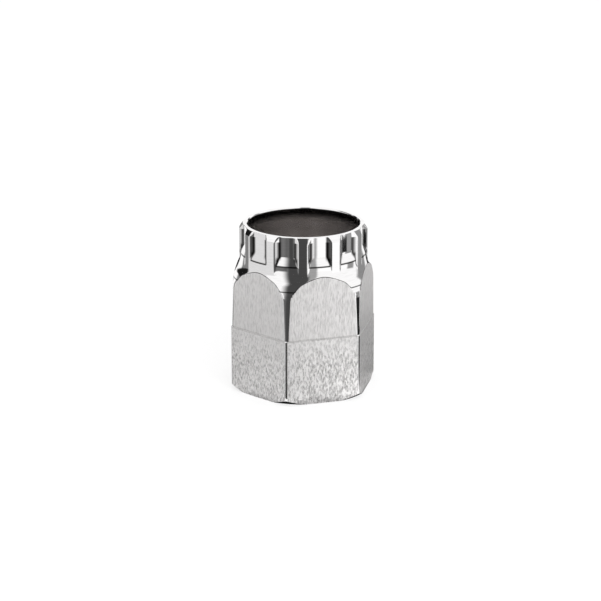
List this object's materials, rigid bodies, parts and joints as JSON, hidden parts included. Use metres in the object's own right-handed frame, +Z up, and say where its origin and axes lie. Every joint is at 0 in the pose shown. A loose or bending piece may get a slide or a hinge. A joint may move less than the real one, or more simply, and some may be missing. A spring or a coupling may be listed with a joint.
{
  "type": "freewheel remover",
  "caption": "Splined socket tool that unscrews a freewheel from a bicycle hub: a hexagon for the spanner, a turned shoulder and a thin splined crown, with a stepped bore.",
  "frame": {"origin": "centre of the flat foot at the end of the hexagon, on the axis of the bore", "axes": "+Z up along the bore's axis towards the splined crown; two edges of the hexagon lie on +X and -X, so two of its flats face +Y and -Y"},
  "size_m": [0.0274, 0.024, 0.0309],
  "materials": {
    "remover_body": "nickel plated steel: satin forged flats, bright turned shoulder and crown"
  },
  "bodies": {
    "root": {"remover_body": "remover_body"}
  },
  "joints": []
}
